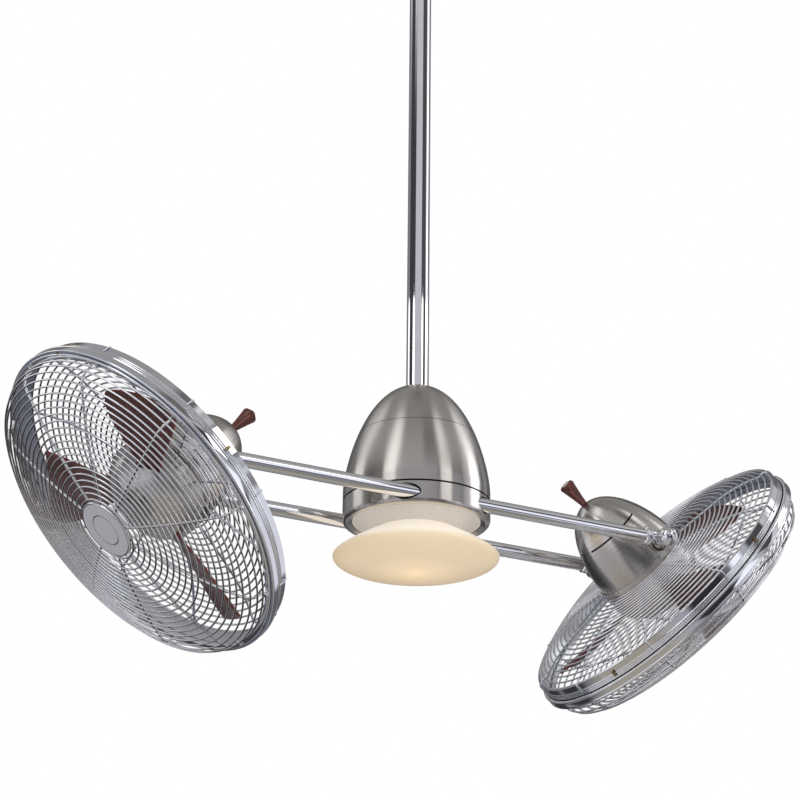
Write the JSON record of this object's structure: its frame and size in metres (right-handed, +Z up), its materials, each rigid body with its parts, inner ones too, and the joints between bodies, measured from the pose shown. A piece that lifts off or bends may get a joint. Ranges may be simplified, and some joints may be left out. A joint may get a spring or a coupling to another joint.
{
  "type": "twin head ceiling fan",
  "caption": "Ceiling fan with tilting caged fan heads on rods that revolve under a lit, egg shaped hub hung from a downrod.",
  "frame": {"origin": "on the ceiling, in the middle of the hanger bracket's two screw holes", "axes": "+Z up out of the ceiling face, +X along the two arm rods towards the right head at rest, -Y the side that the picture sees"},
  "size_m": [0.9694, 0.3913, 0.9644],
  "materials": {
    "nickel": "satin nickel, brushed round the turned shells",
    "chrome": "polished",
    "steel": "plain machined",
    "copper_winding": "varnished copper winding on a laminated core",
    "wood": "satin mahogany stain",
    "opal_glass": "satin opal white, lit warm",
    "lamp_glass": "frosted",
    "white_plastic": "moulded",
    "black_plastic": "moulded",
    "slip_brass": "turned"
  },
  "bodies": {
    "hanger": {"hanger_bracket": "steel", "canopy": "nickel", "canopy_screws": "nickel", "hanger_ball": "black_plastic", "rod_pins": "steel", "downrod": "chrome", "yoke": "steel", "top_cap": "nickel", "hub_shell": "nickel", "main_shaft": "steel", "shaft_nuts": "steel", "brush_block": "black_plastic", "light_pan": "nickel", "lamp_holder": "white_plastic", "lamp": "lamp_glass", "glass_shade": "opal_glass"},
    "arms": {"swivel_ring": "nickel", "carrier": "steel", "carrier_bearings": "chrome", "slip_ring": "slip_brass", "rod_clamps": "steel", "rod_screws": "steel", "front_rod": "chrome", "rear_rod": "chrome", "knuckles": "chrome", "pivot_bolts": "steel", "cap_nuts": "chrome", "pivot_washers": "black_plastic"},
    "left_head": {"left_housing": "nickel", "left_knob": "wood", "left_stator": "copper_winding", "left_end_plates": "steel", "left_bearings": "chrome", "left_rear_guard": "chrome", "left_guard_screws": "chrome", "left_band": "chrome", "left_band_clips": "chrome", "left_front_guard": "chrome", "left_medallion": "chrome"},
    "left_fan": {"left_rotor": "steel", "left_spinner": "nickel", "left_blade_1": "wood", "left_blade_2": "wood", "left_blade_3": "wood"},
    "right_head": {"right_housing": "nickel", "right_knob": "wood", "right_stator": "copper_winding", "right_end_plates": "steel", "right_bearings": "chrome", "right_rear_guard": "chrome", "right_guard_screws": "chrome", "right_band": "chrome", "right_band_clips": "chrome", "right_front_guard": "chrome", "right_medallion": "chrome"},
    "right_fan": {"right_rotor": "steel", "right_spinner": "nickel", "right_blade_1": "wood", "right_blade_2": "wood", "right_blade_3": "wood"}
  },
  "joints": [
    {"name": "gyro_spin", "type": "hinge", "parent": "hanger", "child": "arms", "pos_m": [0, 0, -0.76645], "axis": [0, 0, 1], "continuous": true},
    {"name": "left_tilt", "type": "hinge", "parent": "arms", "child": "left_head", "pos_m": [-0.298, 0, -0.76645], "axis": [0, 1, 0], "range_deg": [-45.4, 44.6]},
    {"name": "left_fan_spin", "type": "hinge", "parent": "left_head", "child": "left_fan", "pos_m": [-0.298, 0, -0.76645], "axis": [-0.712, 0, -0.7022], "continuous": true},
    {"name": "right_tilt", "type": "hinge", "parent": "arms", "child": "right_head", "pos_m": [0.298, 0, -0.76645], "axis": [0, -1, 0], "range_deg": [-52, 38]},
    {"name": "right_fan_spin", "type": "hinge", "parent": "right_head", "child": "right_fan", "pos_m": [0.298, 0, -0.76645], "axis": [0.788, 0, -0.6157], "continuous": true}
  ]
}
